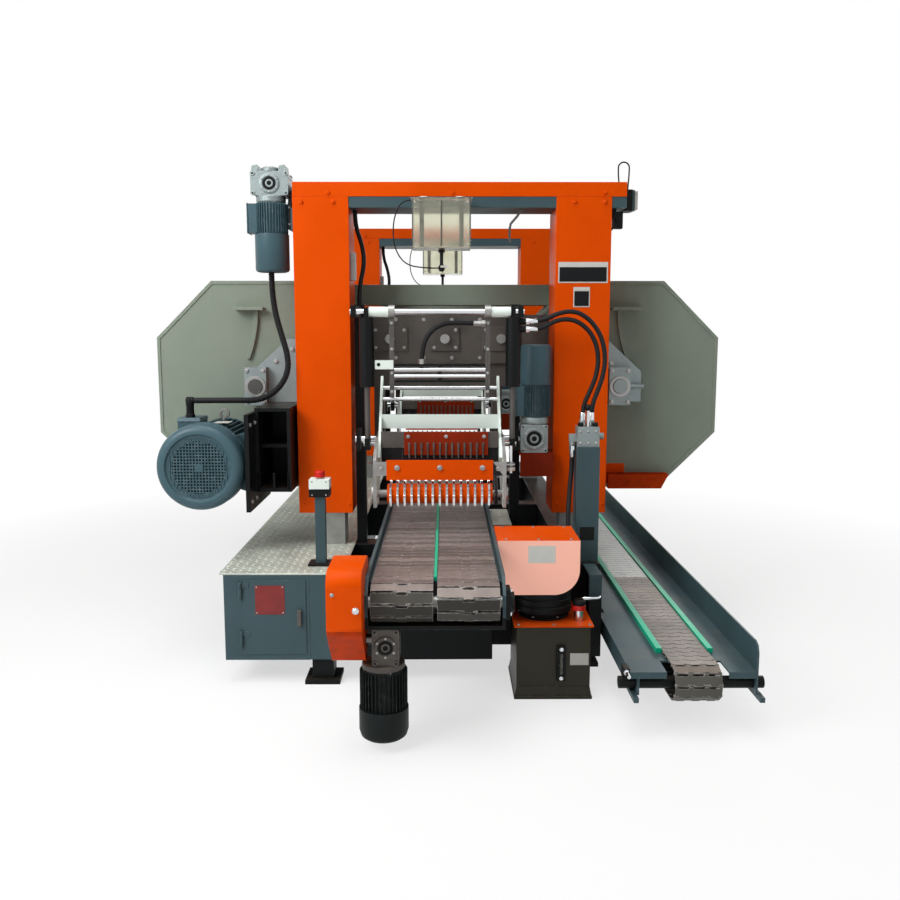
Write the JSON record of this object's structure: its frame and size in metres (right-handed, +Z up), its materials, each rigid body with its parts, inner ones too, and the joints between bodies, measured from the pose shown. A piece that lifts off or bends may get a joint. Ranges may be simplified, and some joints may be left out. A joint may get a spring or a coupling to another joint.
{
  "type": "log slab cutting machine",
  "caption": "Floor-standing log slab saw with gantry band saw heads, spiked hold-down rollers over a slat feed conveyor, a side return conveyor, hydraulic unit and cabinet base.",
  "frame": {"origin": "on the floor, at the middle of the machine's length and width", "axes": "+X to the right seen from the infeed end, +Y along the feed, +Z up"},
  "size_m": [2.41, 4.0998, 1.977],
  "materials": {
    "orange_paint": "satin",
    "slate_paint": "satin",
    "housing_paint": "satin",
    "motor_paint": "satin",
    "black_paint": "satin",
    "tank_paint": "satin",
    "white_paint": "satin",
    "bare_steel": "brushed",
    "slat_steel": "brushed",
    "tread_steel": "chequered",
    "chrome": "polished",
    "gear_alloy": "cast",
    "wheel_iron": "machined",
    "rubber": "matt",
    "clear_plastic": "clear",
    "green_plastic": "satin",
    "red_plastic": "glossy"
  },
  "bodies": {
    "base": {"base_frame": "slate_paint", "levelling_feet": "black_paint", "cabinet": "slate_paint", "tread_plates": "tread_steel", "gantry_frames": "slate_paint", "gantry_covers": "orange_paint", "worm_gearmotors": "gear_alloy", "lube_tanks": "clear_plastic", "hold_down_stands": "black_paint", "cylinder_barrels": "black_paint", "conveyor_bed": "slate_paint", "conveyor_slats": "slat_steel", "drive_guards": "orange_paint", "return_tray": "slate_paint", "return_chain": "slat_steel", "guide_strips": "green_plastic", "hydraulic_tank": "tank_paint", "control_stands": "slate_paint", "hoses": "rubber"},
    "cabinet_door": {"cabinet_door": "slate_paint"},
    "conveyor_drive_shaft": {"conveyor_drive_shaft": "bare_steel"},
    "conveyor_tail_shaft": {"conveyor_tail_shaft": "bare_steel"},
    "estop_button": {"estop_button": "red_plastic"},
    "return_drive_shaft": {"return_drive_shaft": "bare_steel"},
    "return_tail_shaft": {"return_tail_shaft": "black_paint"},
    "valve_lever": {"valve_lever": "black_paint"},
    "front_head": {"front_head_frame": "slate_paint", "front_wheel_housings": "housing_paint", "front_blade": "bare_steel", "front_main_motor": "motor_paint", "front_drive_belts": "rubber", "front_conduit": "rubber"},
    "front_drive_wheel": {"front_drive_wheel": "wheel_iron"},
    "front_idler_carrier": {"front_idler_carrier": "gear_alloy"},
    "front_idler_wheel": {"front_idler_wheel": "wheel_iron"},
    "front_motor_pulley": {"front_motor_pulley": "wheel_iron"},
    "front_lift_screw_left": {"front_lift_screw_left": "bare_steel"},
    "front_lift_screw_right": {"front_lift_screw_right": "bare_steel"},
    "front_cross_shaft": {"front_cross_shaft": "bare_steel"},
    "front_press_frame": {"front_press_frame": "white_paint"},
    "front_press_roller": {"front_press_roller": "orange_paint"},
    "front_press_shaft": {"front_press_shaft": "chrome"},
    "front_cylinder_rods": {"front_cylinder_rods": "chrome"},
    "rear_head": {"rear_head_frame": "slate_paint", "rear_wheel_housings": "housing_paint", "rear_blade": "bare_steel", "rear_main_motor": "motor_paint", "rear_drive_belts": "rubber", "rear_conduit": "rubber"},
    "rear_drive_wheel": {"rear_drive_wheel": "wheel_iron"},
    "rear_idler_carrier": {"rear_idler_carrier": "gear_alloy"},
    "rear_idler_wheel": {"rear_idler_wheel": "wheel_iron"},
    "rear_motor_pulley": {"rear_motor_pulley": "wheel_iron"},
    "rear_lift_screw_left": {"rear_lift_screw_left": "bare_steel"},
    "rear_lift_screw_right": {"rear_lift_screw_right": "bare_steel"},
    "rear_cross_shaft": {"rear_cross_shaft": "bare_steel"},
    "rear_press_frame": {"rear_press_frame": "white_paint"},
    "rear_press_roller": {"rear_press_roller": "orange_paint"},
    "rear_press_shaft": {"rear_press_shaft": "chrome"},
    "rear_cylinder_rods": {"rear_cylinder_rods": "chrome"}
  },
  "joints": [
    {"name": "front_head_lift", "type": "slide", "parent": "base", "child": "front_head", "axis": [0, 0, 1], "range_m": [-0.14, 0.2], "deforming": ["front_conduit"]},
    {"name": "front_drive_wheel_spin", "type": "hinge", "parent": "front_head", "child": "front_drive_wheel", "pos_m": [-0.771, -0.5825, 1.066], "axis": [0, 1, 0], "continuous": true},
    {"name": "front_motor_spin", "type": "hinge", "parent": "front_head", "child": "front_motor_pulley", "pos_m": [-0.912, -0.5825, 0.78], "axis": [0, 1, 0], "continuous": true},
    {"name": "front_idler_tension", "type": "slide", "parent": "front_head", "child": "front_idler_carrier", "axis": [1, 0, 0], "range_m": [-0.02, 0]},
    {"name": "front_idler_wheel_spin", "type": "hinge", "parent": "front_idler_carrier", "child": "front_idler_wheel", "pos_m": [0.771, -0.5825, 1.066], "axis": [0, 1, 0], "continuous": true},
    {"name": "front_screw_left_spin", "type": "hinge", "parent": "base", "child": "front_lift_screw_left", "pos_m": [-0.5175, -0.84, 1.782], "axis": [0, 0, 1], "continuous": true},
    {"name": "front_screw_right_spin", "type": "hinge", "parent": "base", "child": "front_lift_screw_right", "pos_m": [0.6375, -0.84, 1.782], "axis": [0, 0, 1], "continuous": true},
    {"name": "front_cross_shaft_spin", "type": "hinge", "parent": "base", "child": "front_cross_shaft", "pos_m": [0, -0.84, 1.855], "axis": [1, 0, 0], "continuous": true},
    {"name": "front_press_swing", "type": "hinge", "parent": "base", "child": "front_press_frame", "pos_m": [0.01, -0.9475, 0.862], "axis": [-1, 0, 0], "range_deg": [-15, 20]},
    {"name": "front_cylinder_stroke", "type": "slide", "parent": "base", "child": "front_cylinder_rods", "axis": [0, 0, 1], "range_m": [-0.042, 0.056]},
    {"name": "front_roller_spin", "type": "hinge", "parent": "front_press_frame", "child": "front_press_roller", "pos_m": [0.01, -1.1995, 0.684], "axis": [1, 0, 0], "continuous": true},
    {"name": "front_press_shaft_spin", "type": "hinge", "parent": "base", "child": "front_press_shaft", "pos_m": [0.01, -0.9475, 0.862], "axis": [1, 0, 0], "continuous": true},
    {"name": "rear_head_lift", "type": "slide", "parent": "base", "child": "rear_head", "axis": [0, 0, 1], "range_m": [-0.14, 0.2], "deforming": ["rear_conduit"]},
    {"name": "rear_drive_wheel_spin", "type": "hinge", "parent": "rear_head", "child": "rear_drive_wheel", "pos_m": [-0.771, 1.0975, 1.066], "axis": [0, 1, 0], "continuous": true},
    {"name": "rear_motor_spin", "type": "hinge", "parent": "rear_head", "child": "rear_motor_pulley", "pos_m": [-0.912, 1.0975, 0.78], "axis": [0, 1, 0], "continuous": true},
    {"name": "rear_idler_tension", "type": "slide", "parent": "rear_head", "child": "rear_idler_carrier", "axis": [1, 0, 0], "range_m": [-0.02, 0]},
    {"name": "rear_idler_wheel_spin", "type": "hinge", "parent": "rear_idler_carrier", "child": "rear_idler_wheel", "pos_m": [0.771, 1.0975, 1.066], "axis": [0, 1, 0], "continuous": true},
    {"name": "rear_screw_left_spin", "type": "hinge", "parent": "base", "child": "rear_lift_screw_left", "pos_m": [-0.5175, 0.84, 1.782], "axis": [0, 0, 1], "continuous": true},
    {"name": "rear_screw_right_spin", "type": "hinge", "parent": "base", "child": "rear_lift_screw_right", "pos_m": [0.6375, 0.84, 1.782], "axis": [0, 0, 1], "continuous": true},
    {"name": "rear_cross_shaft_spin", "type": "hinge", "parent": "base", "child": "rear_cross_shaft", "pos_m": [0, 0.84, 1.855], "axis": [1, 0, 0], "continuous": true},
    {"name": "rear_press_swing", "type": "hinge", "parent": "base", "child": "rear_press_frame", "pos_m": [0.01, 0.7325, 0.862], "axis": [-1, 0, 0], "range_deg": [-15, 20]},
    {"name": "rear_cylinder_stroke", "type": "slide", "parent": "base", "child": "rear_cylinder_rods", "axis": [0, 0, 1], "range_m": [-0.042, 0.056]},
    {"name": "rear_roller_spin", "type": "hinge", "parent": "rear_press_frame", "child": "rear_press_roller", "pos_m": [0.01, 0.4805, 0.684], "axis": [1, 0, 0], "continuous": true},
    {"name": "rear_press_shaft_spin", "type": "hinge", "parent": "base", "child": "rear_press_shaft", "pos_m": [0.01, 0.7325, 0.862], "axis": [1, 0, 0], "continuous": true},
    {"name": "conveyor_drive_spin", "type": "hinge", "parent": "base", "child": "conveyor_drive_shaft", "pos_m": [0, -1.925, 0.48], "axis": [1, 0, 0], "continuous": true},
    {"name": "conveyor_tail_spin", "type": "hinge", "parent": "base", "child": "conveyor_tail_shaft", "pos_m": [0, 1.99, 0.48], "axis": [1, 0, 0], "continuous": true},
    {"name": "return_drive_spin", "type": "hinge", "parent": "base", "child": "return_drive_shaft", "pos_m": [0.838, 1.804, 0.174], "axis": [1, 0, 0], "continuous": true},
    {"name": "return_tail_spin", "type": "hinge", "parent": "base", "child": "return_tail_shaft", "pos_m": [0.838, -1.804, 0.174], "axis": [1, 0, 0], "continuous": true},
    {"name": "valve_lever_swing", "type": "hinge", "parent": "base", "child": "valve_lever", "pos_m": [0.5765, -1.172, 0.926], "axis": [0, 1, 0], "range_deg": [-18, 18], "stiffness_Nm_per_rad": 2},
    {"name": "estop_press", "type": "slide", "parent": "base", "child": "estop_button", "axis": [0, 0, -1], "range_m": [0, 0.005], "stiffness_N_per_m": 900},
    {"name": "cabinet_door_swing", "type": "hinge", "parent": "base", "child": "cabinet_door", "pos_m": [-0.722, -1.3885, 0.254], "axis": [0, 0, -1], "range_deg": [0, 110]}
  ],
  "couplings": [
    {"joint": "front_motor_spin", "follows": "front_drive_wheel_spin", "ratio": 2.2667},
    {"joint": "front_idler_wheel_spin", "follows": "front_drive_wheel_spin", "ratio": 1},
    {"joint": "front_screw_left_spin", "follows": "front_head_lift", "rad_per_m": -628.32},
    {"joint": "front_screw_right_spin", "follows": "front_head_lift", "rad_per_m": -628.32},
    {"joint": "front_cross_shaft_spin", "follows": "front_head_lift", "rad_per_m": -628.32},
    {"joint": "front_cylinder_stroke", "follows": "front_press_swing", "m_per_rad": 0.15},
    {"joint": "front_press_shaft_spin", "follows": "front_roller_spin", "ratio": 1},
    {"joint": "rear_motor_spin", "follows": "rear_drive_wheel_spin", "ratio": 2.2667},
    {"joint": "rear_idler_wheel_spin", "follows": "rear_drive_wheel_spin", "ratio": 1},
    {"joint": "rear_screw_left_spin", "follows": "rear_head_lift", "rad_per_m": -628.32},
    {"joint": "rear_screw_right_spin", "follows": "rear_head_lift", "rad_per_m": -628.32},
    {"joint": "rear_cross_shaft_spin", "follows": "rear_head_lift", "rad_per_m": -628.32},
    {"joint": "rear_cylinder_stroke", "follows": "rear_press_swing", "m_per_rad": 0.15},
    {"joint": "rear_press_shaft_spin", "follows": "rear_roller_spin", "ratio": 1},
    {"joint": "conveyor_tail_spin", "follows": "conveyor_drive_spin", "ratio": 1},
    {"joint": "return_tail_spin", "follows": "return_drive_spin", "ratio": 1}
  ]
}
